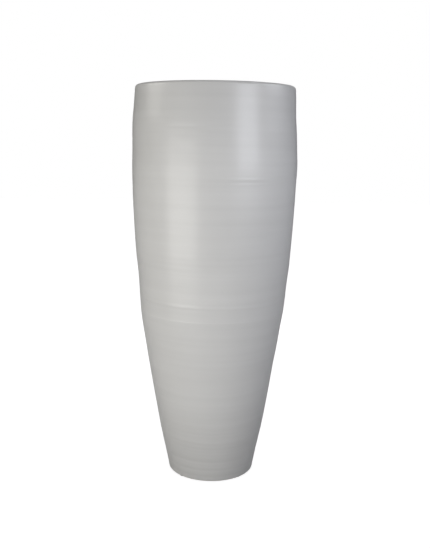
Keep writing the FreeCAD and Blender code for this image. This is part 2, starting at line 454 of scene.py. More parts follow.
@contextmanager
def editing(piece: bpy.types.Object) -> Iterator[None]:
    """Keep a piece in edit mode for a while.

    Args:
        piece: The mesh object.
    """
    bpy.context.view_layer.objects.active = piece
    bpy.ops.object.mode_set(mode="EDIT")
    yield
    bpy.ops.object.mode_set(mode="OBJECT")


def select_vertices(piece: bpy.types.Object, test: Callable[[Vector], bool]) -> None:
    """Select the vertices whose place passes a test, in edit mode.

    Args:
        piece: The mesh object.
        test: Whether a place is meant.
    """
    bpy.ops.mesh.select_mode(type="VERT")
    bpy.ops.mesh.select_all(action="DESELECT")
    mesh = bmesh.from_edit_mesh(piece.data)
    for vertex in mesh.verts:
        vertex.select = test(vertex.co)
    mesh.select_flush_mode()
    bmesh.update_edit_mesh(piece.data)


def apply_modifier(piece: bpy.types.Object, modifier: bpy.types.Modifier) -> None:
    """Make a modifier a part of the mesh."""
    bpy.context.view_layer.objects.active = piece
    bpy.ops.object.modifier_apply(modifier=modifier.name)


def press(piece: bpy.types.Object, lifts: list[float]) -> None:
    """Move each vertex along its normal, by weights and two Displace modifiers.

    Args:
        piece: The mesh object.
        lifts: How far each vertex moves outwards, in metres.
    """
    for name, sign in (("raised", 1), ("pressed", -1)):
        strength = max(sign * lift for lift in lifts)
        if strength <= 0:
            continue
        group = piece.vertex_groups.new(name=name)
        for index, lift in enumerate(lifts):
            if sign * lift > 0:
                group.add([index], sign * lift / strength, "REPLACE")
        displace = piece.modifiers.new(name, "DISPLACE")
        displace.direction = "NORMAL"
        displace.mid_level = 0.0
        displace.strength = sign * strength
        displace.vertex_group = name
        apply_modifier(piece, displace)
        piece.vertex_groups.remove(piece.vertex_groups[name])


def close_edge(piece: bpy.types.Object, height: float, reach: float, middle: Point, depth: float) -> None:
    """Join the outer and the inner wall at one edge, with a ring between them that is sunk into a V.

    Args:
        piece: The mesh object, in object mode.
        height: The height of the two open edges.
        reach: How far from that height an edge may lie and still be meant.
        middle: The radii between which the new ring lies.
        depth: How far the new ring is sunk.
    """

    def in_ring(place: Vector) -> bool:
        """Whether a place lies on the new ring."""
        return abs(place.z - height) < reach and middle[0] < across(place) < middle[1]

    with editing(piece):
        bpy.ops.mesh.select_mode(type="EDGE")
        bpy.ops.mesh.select_all(action="DESELECT")
        mesh = bmesh.from_edit_mesh(piece.data)
        for edge in mesh.edges:
            level = all(abs(vertex.co.z - height) < reach for vertex in edge.verts)
            edge.select_set(edge.is_boundary and level)
        bmesh.update_edit_mesh(piece.data)
        bpy.ops.mesh.bridge_edge_loops(number_cuts=1, interpolation="LINEAR")
        select_vertices(piece, in_ring)
        bpy.ops.transform.translate(value=(0, 0, -depth))


def flip_faces(piece: bpy.types.Object, test: Callable[[Vector], bool]) -> None:
    """Turn over the faces whose vertices all pass a test.

    Args:
        piece: The mesh object.
        test: Whether a place is meant.
    """
    with editing(piece):
        select_vertices(piece, test)
        bpy.ops.mesh.flip_normals()


def turn_faces_out(piece: bpy.types.Object) -> None:
    """Point every face of a closed piece outwards.

    Args:
        piece: The mesh object.
    """
    with editing(piece):
        bpy.ops.mesh.select_all(action="SELECT")
        bpy.ops.mesh.normals_make_consistent(inside=False)


def smooth(piece: bpy.types.Object, angle: float = CREASE) -> None:
    """Shade a piece smooth, with its sharp edges kept.

    Args:
        piece: The mesh object.
        angle: The angle from which an edge counts as sharp, in degrees.
    """
    bpy.ops.object.select_all(action="DESELECT")
    piece.select_set(True)
    bpy.context.view_layer.objects.active = piece
    bpy.ops.object.shade_smooth_by_angle(angle=math.radians(angle))


def dress(
    piece: bpy.types.Object,
    main: bpy.types.Material,
    other: bpy.types.Material | None = None,
    has_other: Callable[[bpy.types.MeshPolygon], bool] | None = None,
) -> None:
    """Give a piece its finish.

    Args:
        piece: The mesh object.
        main: The finish on most of its faces.
        other: A second finish.
        has_other: Whether a face has the second finish.
    """
    piece.data.materials.clear()
    piece.data.materials.append(main)
    if other is None:
        return
    piece.data.materials.append(other)
    for face in piece.data.polygons:
        face.material_index = int(has_other(face))


class Wobble:
    """The slow swells and wanders of the whole wall, as one lattice that every fired piece goes through."""

    LAYERS = 41
    WIDTH = 0.4
    OVERRUN = 0.02
    MEAN_RADIUS = 0.15

    def __init__(self) -> None:
        """Build the lattice over the vase's whole height."""
        low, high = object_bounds()
        bottom = low[2] - self.OVERRUN
        height = high[2] - low[2] + 2 * self.OVERRUN
        bpy.ops.object.select_all(action="DESELECT")
        bpy.ops.object.add(type="LATTICE", location=(0, 0, bottom + height / 2))
        self.cage = bpy.context.object
        self.cage.name = "wobble_cage"
        self.cage.scale = (self.WIDTH, self.WIDTH, height)
        lattice = self.cage.data
        lattice.points_u = 2
        lattice.points_v = 2
        lattice.points_w = self.LAYERS
        lattice.interpolation_type_w = "KEY_CATMULL_ROM"
        for point in lattice.points:
            level = bottom + (point.co.z + 0.5) * height
            swell = 1 + all_lifts(SWELLS, level, 0) / self.MEAN_RADIUS
            shift = all_lifts(WANDERS, level, 0) / self.WIDTH
            point.co_deform.x = point.co.x * swell + shift
            point.co_deform.y = point.co.y * swell
        bpy.context.view_layer.update()

    def bend(self, piece: bpy.types.Object) -> None:
        """Take a finished piece through the lattice.

        Args:
            piece: The mesh object.
        """
        modifier = piece.modifiers.new("wobble", "LATTICE")
        modifier.object = self.cage
        apply_modifier(piece, modifier)

    def clear(self) -> None:
        """Take the lattice out of the scene."""
        bpy.data.objects.remove(self.cage)


# Shader work


class Bench:
    """Places shader nodes in one tree and links them."""

    def __init__(self, tree: bpy.types.NodeTree) -> None:
        """Clear the tree."""
        self.tree = tree
        tree.nodes.clear()

    @classmethod
    def for_material(cls, name: str) -> tuple[bpy.types.Material, Bench]:
        """Make a material, and the bench for its nodes.

        Args:
            name: The material's name.

        Returns:
            The material and its bench.
        """
        material = bpy.data.materials.new(name)
        material.use_nodes = True
        return material, cls(material.node_tree)

    def add(self, kind: str, inputs: dict[str, object] | None = None, **settings: object) -> bpy.types.Node:
        """Place a node.

        Args:
            kind: The node's type, without its ShaderNode prefix.
            inputs: What feeds its inputs, by name: an output socket, a number or a colour.
            **settings: Properties of the node itself.

        Returns:
            The new node.
        """
        prefix = "" if kind.startswith("NodeGroup") else "ShaderNode"
        node = self.tree.nodes.new(prefix + kind)
        for name, setting in settings.items():
            setattr(node, name, setting)
        for name, source in (inputs or {}).items():
            self.feed(node.inputs[name], source)
        return node

    def feed(self, socket: bpy.types.NodeSocket, source: object) -> None:
        """Link a socket, or set it to a plain value.

        Args:
            socket: The input.
            source: An output socket, a number or a colour.
        """
        if isinstance(source, bpy.types.NodeSocket):
            self.tree.links.new(source, socket)
        elif isinstance(source, tuple) and len(source) == 3 and socket.type == "RGBA":
            socket.default_value = (*source, 1.0)
        else:
            socket.default_value = source

    def maths(self, operation: str, first: object, second: object = 0.0) -> bpy.types.NodeSocket:
        """The result of a Math node.

        Args:
            operation: What it does.
            first: Its first input.
            second: Its second input.

        Returns:
            Its output.
        """
        node = self.add("Math", operation=operation)
        self.feed(node.inputs[0], first)
        self.feed(node.inputs[1], second)
        return node.outputs[0]

    def spread(
        self, value: object, before: tuple[object, object], after: tuple[object, object] = RISING
    ) -> bpy.types.NodeSocket:
        """A value taken from one range to another, and held at the ends.

        Args:
            value: The value.
            before: The range that it comes from.
            after: The range that it is taken to.

        Returns:
            The value in its new range.
        """
        given = {"Value": value, "From Min": before[0], "From Max": before[1]}
        wanted = {"To Min": after[0], "To Max": after[1]}
        return self.add("MapRange", given | wanted).outputs["Result"]

    def mix(self, share: object, first: object, second: object) -> bpy.types.NodeSocket:
        """Two colours mixed by a share.

        Args:
            share: The share of the second.
            first: The first colour.
            second: The second colour.

        Returns:
            The mixed colour.
        """
        node = self.add("Mix", data_type="RGBA")
        self.feed(node.inputs[0], share)
        self.feed(node.inputs[6], first)
        self.feed(node.inputs[7], second)
        return node.outputs[2]

    def place(self) -> bpy.types.NodeSocket:
        """Object coordinates."""
        return self.add("TexCoord").outputs["Object"]

    def stretched_place(self, sideways: object, upwards: object) -> bpy.types.NodeSocket:
        """Object coordinates, scaled by one factor sideways and another upwards.

        Args:
            sideways: The factor for X and Y.
            upwards: The factor for Z.

        Returns:
            The scaled place.
        """
        parts = self.add("SeparateXYZ", {"Vector": self.place()})
        wide = [self.maths("MULTIPLY", parts.outputs[axis], sideways) for axis in ("X", "Y")]
        tall = self.maths("MULTIPLY", parts.outputs["Z"], upwards)
        joined = self.add("CombineXYZ", {"X": wide[0], "Y": wide[1], "Z": tall})
        return joined.outputs["Vector"]

    def seen_directly(self) -> bpy.types.NodeSocket:
        """Whether the eye looks straight at the surface, or through something clear."""
        path = self.add("LightPath").outputs
        return self.maths("MAXIMUM", path["Is Camera Ray"], path["Is Transmission Ray"])

    def coat(self, relief: object, depth: float, looks: dict[str, object], strength: float = 1.0) -> None:
        """Send out a surface with its bump.

        Args:
            relief: What raises the surface, as a share of the depth.
            depth: How high it can stand, in metres.
            looks: The surface's other inputs.
            strength: The share of the bump that shows.
        """
        bump = self.add("Bump", {"Strength": strength, "Distance": depth, "Height": relief})
        self.send_out(self.add("BsdfPrincipled", looks | {"Normal": bump.outputs["Normal"]}))

    def send_out(self, shader: bpy.types.Node, output: str = "OutputMaterial") -> None:
        """Link a shader to the surface that is put out."""
        self.add(output, {"Surface": shader.outputs[0]})


class Effect:
    """A shader node group that several finishes use."""

    def __init__(self, name: str, inputs: tuple[str, ...], outputs: tuple[str, ...]) -> None:
        """Make the group with its sockets.

        Args:
            name: The group's name.
            inputs: The names of the values that it takes.
            outputs: The names of the values that it puts out.
        """
        self.group = bpy.data.node_groups.new(name, "ShaderNodeTree")
        sockets = self.group.interface
        for in_out, names in (("INPUT", inputs), ("OUTPUT", outputs)):
            for socket in names:
                sockets.new_socket(socket, in_out=in_out, socket_type="NodeSocketFloat")
        self.bench = Bench(self.group)
        self.given = self.group.nodes.new("NodeGroupInput").outputs
        self.results = self.group.nodes.new("NodeGroupOutput").inputs

    def put_out(self, name: str, value: bpy.types.NodeSocket) -> None:
        """Send a value out of the group."""
        self.group.links.new(value, self.results[name])

    def place_in(self, bench: Bench, **inputs: float) -> bpy.types.Node:
        """Place the group in a material with its own values.

        Args:
            bench: The bench of the material.
            **inputs: The group's inputs, with underscores for spaces.

        Returns:
            The group's node.
        """
        node = bench.tree.nodes.new("ShaderNodeGroup")
        node.node_tree = self.group
        for name, value in inputs.items():
            node.inputs[name.replace("_", " ")].default_value = value
        return node


def thrown_lines() -> Effect:
    """Fine level lines in the surface, such as a sponge or a turning tool leaves.

    Returns:
        The effect, whose lines come per metre.
    """
    effect = Effect("thrown lines", ("Lines", "Waver"), ("Height", "Streak"))
    bench = effect.bench
    place = bench.stretched_place(effect.given["Waver"], effect.given["Lines"])
    fine = bench.add("TexNoise", {"Vector": place, "Scale": 1.0, "Detail": 1.0, "Roughness": 0.4})
    broad_lines = bench.maths("MULTIPLY", effect.given["Lines"], BROAD_LINE_SHARE)
    broad_place = bench.stretched_place(effect.given["Waver"], broad_lines)
    broad = bench.add("TexNoise", {"Vector": broad_place, "Scale": 1.0, "Detail": 2.0, "Roughness": 0.5})
    effect.put_out("Height", fine.outputs["Fac"])
    effect.put_out("Streak", broad.outputs["Fac"])
    return effect


def clouds() -> Effect:
    """Soft uneven patches, such as a glaze that lies thicker in places.

    Returns:
        The effect, whose size is in metres.
    """
    effect = Effect("clouds", ("Size", "Detail"), ("Cloud",))
    bench = effect.bench
    scale = bench.maths("DIVIDE", 1.0, effect.given["Size"])
    detail = effect.given["Detail"]
    noise = bench.add("TexNoise", {"Vector": bench.place(), "Scale": scale, "Detail": detail})
    effect.put_out("Cloud", noise.outputs["Fac"])
    return effect


def specks() -> Effect:
    """Small scattered dots, such as grog, iron spots or pinholes.

    Returns:
        The effect, whose dot size is a share of its spacing.
    """
    effect = Effect("specks", ("Spacing", "Dot Size", "Share"), ("Dots",))
    bench = effect.bench
    scale = bench.maths("DIVIDE", 1.0, effect.given["Spacing"])
    cells = bench.add("TexVoronoi", {"Vector": bench.place(), "Scale": scale})
    chosen = bench.add("TexWhiteNoise", {"Vector": cells.outputs["Color"]}, noise_dimensions="3D")
    kept = bench.maths("LESS_THAN", chosen.outputs["Value"], effect.given["Share"])
    edge = effect.given["Dot Size"]
    full = bench.maths("DIVIDE", edge, 2.0)
    dot = bench.spread(cells.outputs["Distance"], (full, edge), FALLING)
    effect.put_out("Dots", bench.maths("MULTIPLY", dot, kept))
    return effect


@dataclass(frozen=True)
class Effects:
    """The shared effects, each built once."""

    lines: Effect = field(default_factory=thrown_lines)
    clouds: Effect = field(default_factory=clouds)
    specks: Effect = field(default_factory=specks)


@dataclass(frozen=True)
class SatinGlaze:
    """A satin off-white glaze over thrown stoneware."""

    name: str = "satin_glaze"
    # thick is the full glaze tone; thin is both the tone of thinner patches and the painted shade towards
    # the foot and the lip.
    thick: Colour = (0.610, 0.608, 0.604)
    thin: Colour = (0.498, 0.495, 0.490)
    speck: Colour = (0.36, 0.33, 0.29)
    roughness: Span = (0.285, 0.325)
    refraction: float = 1.54
    lines_per_metre: float = 150.0
    line_waver: float = 2.5
    line_height: float = 0.03 * MM
    streak_share: float = 0.6
    uneven_share: float = 0.30
    cloud_size: float = 90 * MM
    speck_spacing: float = 12 * MM
    speck_size_share: float = 0.045
    specked_share: float = 0.12
    speck_tint_share: float = 0.35
    ripples_per_metre: float = 150.0
    ripple_share: float = 0.25
    # How far the painted shade reaches up from the foot and down from the lip.
    foot_shade_reach: float = 200 * MM
    lip_shade_reach: float = 180 * MM

    def thickness(self, bench: Bench) -> bpy.types.NodeSocket:
        """Painted shade by height: the glaze colour darkens towards the foot and the lip, where the light
        falls off.

        Args:
            bench: The bench of the material.

        Returns:
            The share of the unshaded tone, which is lower towards the foot and the lip.
        """
        low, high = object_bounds()
        height = bench.add("SeparateXYZ", {"Vector": bench.place()}).outputs["Z"]
        from_foot = bench.spread(height, (low[2], low[2] + self.foot_shade_reach))
        to_lip = bench.spread(height, (high[2] - self.lip_shade_reach, high[2]), FALLING)
        return bench.maths("MINIMUM", from_foot, to_lip)

    def make(self, effects: Effects) -> bpy.types.Material:
        """Build the material.

        Args:
            effects: The shared node groups.

        Returns:
            The finished material.
        """
        material, bench = Bench.for_material(self.name)
        lines = effects.lines.place_in(bench, Lines=self.lines_per_metre, Waver=self.line_waver).outputs
        cloud = effects.clouds.place_in(bench, Size=self.cloud_size, Detail=3.0).outputs["Cloud"]
        dots = effects.specks.place_in(
            bench,
            Spacing=self.speck_spacing,
            Dot_Size=self.speck_size_share,
            Share=self.specked_share,
        )
        streak = bench.maths("MULTIPLY", lines["Streak"], self.streak_share)
        patch = bench.maths("MULTIPLY", cloud, 1 - self.streak_share)
        uneven = bench.spread(bench.maths("ADD", streak, patch), NOISE_SPAN, (0.0, self.uneven_share))
        # Painted shade: darker towards the foot and the lip, standing in for light that falls off there.
        even = bench.maths("MULTIPLY", self.thickness(bench), 1 - self.uneven_share)
        colour = bench.mix(bench.maths("ADD", uneven, even), self.thin, self.thick)
        tint = bench.maths("MULTIPLY", dots.outputs["Dots"], self.speck_tint_share)
        ripples = {"Vector": bench.place(), "Scale": self.ripples_per_metre, "Detail": 1.0}
        rippled = bench.add("TexNoise", ripples).outputs["Fac"]
        relief = bench.maths("ADD", lines["Height"], bench.maths("MULTIPLY", rippled, self.ripple_share))
        bench.coat(relief, self.line_height, {
            "Base Color": bench.mix(tint, colour, self.speck),
            "Roughness": bench.spread(lines["Streak"], NOISE_SPAN, self.roughness),
            "IOR": self.refraction,
        })
        return material


@dataclass(frozen=True)
class FiredClay:
    """Bare fired stoneware, with fine grog, turned where a tool trimmed it."""

    name: str
    dark: Colour
    pale: Colour
    grog: Colour = (0.20, 0.17, 0.14)
    roughness: Span = (0.78, 0.92)
    cloud_size: float = 30 * MM
    grain_spacing: float = 2.2 * MM
    grain_size_share: float = 0.30
    grainy_share: float = 0.30
    grain_tint_share: float = 0.45
    lines_per_metre: float = 420.0
    line_waver: float = 14.0
    line_height: float = 0.12 * MM
    relief_share: float = 0.8

    def make(self, effects: Effects) -> bpy.types.Material:
        """Build the material.

        Args:
            effects: The shared node groups.

        Returns:
            The finished material.
        """
        material, bench = Bench.for_material(self.name)
        lines = effects.lines.place_in(bench, Lines=self.lines_per_metre, Waver=self.line_waver)
        cloud = effects.clouds.place_in(bench, Size=self.cloud_size, Detail=4.0).outputs["Cloud"]
        dots = effects.specks.place_in(
            bench,
            Spacing=self.grain_spacing,
            Dot_Size=self.grain_size_share,
            Share=self.grainy_share,
        )
        grains = dots.outputs["Dots"]
        colour = bench.mix(bench.spread(cloud, NOISE_SPAN), self.dark, self.pale)
        tint = bench.maths("MULTIPLY", grains, self.grain_tint_share)
        relief = bench.maths("SUBTRACT", lines.outputs["Height"], grains)
        looks = {
            "Base Color": bench.mix(tint, colour, self.grog),
            "Roughness": bench.spread(cloud, NOISE_SPAN, self.roughness),
        }
        bench.coat(relief, self.line_height, looks, self.relief_share)
        return material


@dataclass(frozen=True)
class PressedFelt:
    """Grey wool felt, pressed flat, with loose fibres."""

    name: str = "pressed_felt"
    dark: Colour = (0.20, 0.20, 0.19)
    pale: Colour = (0.36, 0.36, 0.35)
    cloud_size: float = 2 * MM
    fibres_per_metre: float = 1400.0
    fibre_height: float = 0.15 * MM
    squash: float = 2.5
    curl: float = 2.5
    fibre_span: Span = (0.12, 0.42)

    def make(self, effects: Effects) -> bpy.types.Material:
        """Build the material.

        Args:
            effects: The shared node groups.

        Returns:
            The finished material.
        """
        material, bench = Bench.for_material(self.name)
        cloud = effects.clouds.place_in(bench, Size=self.cloud_size, Detail=6.0).outputs["Cloud"]
        fibres = bench.add("TexNoise", {
            "Vector": bench.stretched_place(1.0, self.squash),
            "Scale": self.fibres_per_metre,
            "Detail": 4.0,
            "Distortion": self.curl,
        }).outputs["Fac"]
        share = bench.spread(bench.maths("MULTIPLY", cloud, fibres), self.fibre_span)
        bench.coat(fibres, self.fibre_height, {
            "Base Color": bench.mix(share, self.dark, self.pale),
            "Roughness": 1.0,
            "Sheen Weight": 0.4,
            "Sheen Roughness": 0.6,
            "Specular IOR Level": 0.2,
        })
        return material


@dataclass(frozen=True)
class Finishes:
    """Every finish on the vase, ready to be given to its pieces."""

    glaze: bpy.types.Material
    bare_clay: bpy.types.Material
    slip: bpy.types.Material
    felt: bpy.types.Material

    @classmethod
    def make(cls) -> Finishes:
        """Build the finishes and their shared effects.

        Returns:
            The finishes.
        """
        effects = Effects()
        bare_clay = FiredClay("bare_foot_clay", dark=(0.36, 0.32, 0.275), pale=(0.48, 0.44, 0.385))
        slip = FiredClay("fired_slip", dark=(0.48, 0.46, 0.43), pale=(0.56, 0.54, 0.51))
        return cls(
            glaze=SatinGlaze().make(effects),
            bare_clay=bare_clay.make(effects),
            slip=slip.make(effects),
            felt=PressedFelt().make(effects),
        )


# Pieces


@dataclass(kw_only=True)
class ThrownRing(ABC):
    """One thrown ring of the wall: what the three of them share."""

    name: str
    node: str
    outer: WallArc
    inner: WallArc
    outer_step: float = 1.6 * MM
    inner_step: float = 4.0 * MM
    edge_reach: float = 0.4 * MM
    finger_pitch: float = 21.0 * MM
    finger_rise: float = 0.35 * MM
    clear_of_coil: float = 17.0 * MM
    row_gap: float = 1.0 * MM
    joint_reach: float = 6.0 * MM
    joint_slope: float = 0.5

    def side_of(self, place: Vector) -> Side:
        """Whether a place lies on the outer or the inner half of the wall."""
        middle = (self.outer.radius(place.z) + self.inner.radius(place.z)) / 2
        return Side.OUTSIDE if across(place) > middle else Side.INSIDE

    def fingers(self) -> Spiral:
        """The spiral that rising fingers left inside, kept clear of the coils.

        Returns:
            The spiral.
        """
        return Spiral(
            pitch=self.finger_pitch,
            rise=self.finger_rise,
            low=self.inner.low[1] + self.clear_of_coil,
            high=self.inner.high[1] - self.clear_of_coil,
            run_out=self.finger_pitch,
        )

    def lift_at(self, place: Vector) -> float:
        """How far the potter's marks lift the surface at a place.

        Args:
            place: The place.

        Returns:
            The lift, in metres.
        """
        if self.side_of(place) is Side.OUTSIDE:
            return all_lifts(OUTSIDE_RELIEF, place.z, azimuth_of(place))
        return self.fingers().lift(place.z, azimuth_of(place))

    @abstractmethod
    def runs(self) -> list[list[Point]]:
        """The runs of the half section, in the order in which the wheel draws them."""

    @abstractmethod
    def edges(self) -> list[tuple[float, Joint]]:
        """The height of each open edge, with the joint that it belongs to."""

    def is_bare(self, middle: Vector, normal: Vector) -> bool:
        """Whether a face is inside a joint, where no glaze reaches.

        Args:
            middle: The face's middle.
            normal: The face's normal.

        Returns:
            True for a bare face.
        """
        low = self.outer.low[1] + self.joint_reach
        high = self.outer.high[1] - self.joint_reach
        return not low < middle.z < high and abs(normal.z) > self.joint_slope

    def build(self, wobble: Wobble, finishes: Finishes) -> bpy.types.Object:
        """Throw the ring, press the marks in, shape its joints, glaze it and bend it.

        Args:
            wobble: The lattice that bends the whole wall.
            finishes: The materials.

        Returns:
            The ring, in its node's place.
        """
        wheel = Wheel(self.name)
        runs = self.runs()
        for run in runs:
            wheel.draw(run)
        piece = wheel.turn()
        if len(runs) > 1:
            flip_faces(piece, lambda place: self.side_of(place) is Side.INSIDE)
        press(piece, [self.lift_at(vertex.co) for vertex in piece.data.vertices])
        for height, joint in self.edges():
            close_edge(piece, height, self.edge_reach, joint.middle, joint.depth)
        turn_faces_out(piece)
        dress(piece, finishes.glaze, finishes.bare_clay, lambda face: self.is_bare(face.center, face.normal))
        wobble.bend(piece)
        smooth(piece)
        return place_piece(piece, self.node)


@dataclass(kw_only=True)
class BaseRing(ThrownRing):
    """The lowest ring, with the bottom and the turned foot."""

    joint: Joint
    bottom_thickness: float = 12.0 * MM
    corner_round: float = 14.0 * MM
    ring_width: float = 18.0 * MM
    recess_depth: float = 4.0 * MM
    outer_round: float = 3.0 * MM
    outer_round_end: float = 350.0
    outer_round_steps: int = 8
    inner_round: float = 1.5 * MM
    inner_round_steps: int = 5
    corner_steps: int = 14
    bare_foot: float = 1.6 * MM
    turning_pitch: float = 5.5 * MM
    turning_depth: float = 0.18 * MM
    under_step: float = 1.4 * MM

    def underside(self) -> list[Point]:
        """The turned recess and the foot ring, from the axis outwards.

        Returns:
            The points, as radius and height.
        """
        floor = self.outer.low[1]
        ceiling = floor + self.recess_depth
        recess = self.outer.low[0] - self.ring_width
        inner = self.inner_round
        outer = self.outer_round

        def turned(radius: float) -> float:
            """The height of the recess, with its turning lines."""
            ripple = 0.5 - 0.5 * math.cos(2 * math.pi * radius / self.turning_pitch)
            return ceiling - self.turning_depth * ripple

        points = rippled_disc(recess, self.under_step, turned)
        points.append((recess, ceiling))
        points += rim_round((recess + inner, floor + inner), inner, 180, 270, self.inner_round_steps)
        centre = (self.outer.radius(floor + outer) - outer, floor + outer)
        return points + rim_round(centre, outer, 270, self.outer_round_end, self.outer_round_steps)

    def bottom(self) -> list[Point]:
        """The inner floor and its rounded corner, from the axis outwards.

        Returns:
            The points, as radius and height.
        """
        level = self.inner.low[1]
        corner = self.corner_round
        lean = self.inner.lean(level + corner)
        tangent = level + corner - corner * math.sin(lean)
        centre = (self.inner.radius(tangent) - corner * math.cos(lean), level + corner)

        def thrown(radius: float) -> float:
            """The height of the floor, with the rings that the fingers left."""
            return level + self.turning_depth * (1 + math.cos(2 * math.pi * radius / self.finger_pitch))

        points = rippled_disc(centre[0], self.under_step, thrown)
        return points + rim_round(centre, corner, -90, -math.degrees(lean), self.corner_steps)

    def lift_at(self, place: Vector) -> float:
        """The marks on the walls, with the foot and the floor left as turned."""
        return 0.0 if place.z < self.outer.low[1] + 2 * self.outer_round else super().lift_at(place)

    def is_bare(self, middle: Vector, normal: Vector) -> bool:
        """Whether a face is under the foot or inside the joint, where no glaze reaches.

        Args:
            middle: The face's middle.
            normal: The face's normal.

        Returns:
            True for a bare face.
        """
        if middle.z < self.outer.low[1] + self.bottom_thickness:
            inward = across(middle) < self.outer.low[0] - self.ring_width / 2
            return inward or middle.z < self.outer.low[1] + self.bare_foot
        return middle.z > self.outer.high[1] - self.joint_reach and abs(normal.z) > self.joint_slope

    def side_of(self, place: Vector) -> Side:
        """Whether a place lies on the underside and outer wall or in the vessel.

        Args:
            place: The place.

        Returns:
            The side.
        """
        if place.z < self.inner.low[1] - self.bottom_thickness / 2:
            return Side.OUTSIDE
        return super().side_of(place)

    def runs(self) -> list[list[Point]]:
        """The underside with the outer wall, and the floor with the inner wall.

        Returns:
            Both runs, from the axis outwards and up to the joint.
        """
        under = self.underside()
        floor = self.bottom()
        outside = self.outer.points(under[-1][1] + self.outer_step, self.joint.seam, self.outer_step)
        inside = self.inner.points(floor[-1][1] + self.row_gap, self.joint.seam, self.inner_step)
        return [under + outside, floor + inside]

    def edges(self) -> list[tuple[float, Joint]]:
        """The groove on top."""
        return [(self.joint.seam, self.joint)]


@dataclass(kw_only=True)
class MiddleRing(ThrownRing):
    """The middle ring, with a tongue below and a groove above."""

    lower: Joint
    upper: Joint

    def runs(self) -> list[list[Point]]:
        """The outer and the inner wall."""
        ends = (self.lower.foot, self.upper.seam)
        return [self.outer.points(*ends, self.outer_step), self.inner.points(*ends, self.inner_step)]

    def edges(self) -> list[tuple[float, Joint]]:
        """The groove on top and the tongue below."""
        return [(self.upper.seam, self.upper), (self.lower.foot, self.lower)]


@dataclass(kw_only=True)
class TopRing(ThrownRing):
    """The top ring, with a tongue below and the rounded lip above."""

    joint: Joint
    lip_outer_round: float = 6.6 * MM
    lip_outer_steps: int = 12
    lip_inner_round: float = 3.5 * MM
    lip_inner_steps: int = 8

    def lip(self) -> list[Point]:
        """The lip, from its outside over the crest to its inside.

        Returns:
            The points, as radius and height.
        """
        top = self.outer.high[1]
        outer = self.lip_outer_round
        inner = self.lip_inner_round
        outer_centre = (self.outer.radius(top - outer) - outer, top - outer)
        inner_centre = (self.inner.radius(top - inner) + inner, top - inner)
        over = rim_round(outer_centre, outer, 0, 90, self.lip_outer_steps)
        return over + rim_round(inner_centre, inner, 90, 180, self.lip_inner_steps)

    def is_bare(self, middle: Vector, normal: Vector) -> bool:
        """Whether a face is inside the joint below; the lip is glazed all over."""
        return middle.z < self.outer.low[1] + self.joint_reach and abs(normal.z) > self.joint_slope

    def runs(self) -> list[list[Point]]:
        """The whole ring in one run.

        Returns:
            The run, from the joint up over the lip and down inside.
        """
        lip = self.lip()
        outside = self.outer.points(self.joint.foot, lip[0][1] - self.row_gap, self.outer_step)
        inside = self.inner.points(lip[-1][1] - self.row_gap, self.joint.foot, self.inner_step)
        return [outside + lip + inside]

    def edges(self) -> list[tuple[float, Joint]]:
        """The tongue below."""
        return [(self.joint.foot, self.joint)]


@dataclass
class JointSlip:
    """The thin V-shaped layer of slip in a joint, glazed over where it shows in the wall's two faces."""

    name: str
    node: str
    joint: Joint
    face_slope: float = 0.3

    def build(self, wobble: Wobble, finishes: Finishes) -> bpy.types.Object:
        """Spread the slip between the two rings.

        Args:
            wobble: The lattice that bends the whole wall.
            finishes: The materials.

        Returns:
            The slip, in its node's place.
        """
        joint = self.joint
        wheel = Wheel(self.name)
        wheel.draw([(joint.radius, joint.seam), (joint.radius, joint.foot)])
        wheel.draw([(joint.inner, joint.foot), (joint.inner, joint.seam)])
        piece = wheel.turn()
        middle = (joint.radius + joint.inner) / 2

        def lift_at(place: Vector) -> float:
            """How far the potter's marks lift the slip's outer face."""
            return all_lifts(OUTSIDE_RELIEF, place.z, azimuth_of(place)) if across(place) > middle else 0.0

        press(piece, [lift_at(vertex.co) for vertex in piece.data.vertices])
        flip_faces(piece, lambda place: across(place) < middle)
        reach = (joint.foot - joint.seam) / 3
        for edge in (joint.foot, joint.seam):
            close_edge(piece, edge, reach, joint.middle, joint.depth)
        turn_faces_out(piece)
        dress(piece, finishes.slip, finishes.glaze, lambda face: abs(face.normal.z) < self.face_slope)
        wobble.bend(piece)
        smooth(piece)
        return place_piece(piece, self.node)


@dataclass(frozen=True)
class FingerTouch:
    """One dent that a finger pressed into a coil."""

    azimuth: float
    height: float
    depth: float
    half_width: float
    half_height: float

    def lift(self, height: float, azimuth: float) -> float:
        """How far the touch lifts the coil at a place, which is never above nothing.

        Args:
            height: The height, in metres.
            azimuth: The azimuth, in degrees.

        Returns:
            The lift, in metres.
        """
        turn = turn_between(self.azimuth, azimuth)
        away = (height - self.height) / self.half_height
        return -self.depth * fade_round(turn, self.half_width) * hump(away)


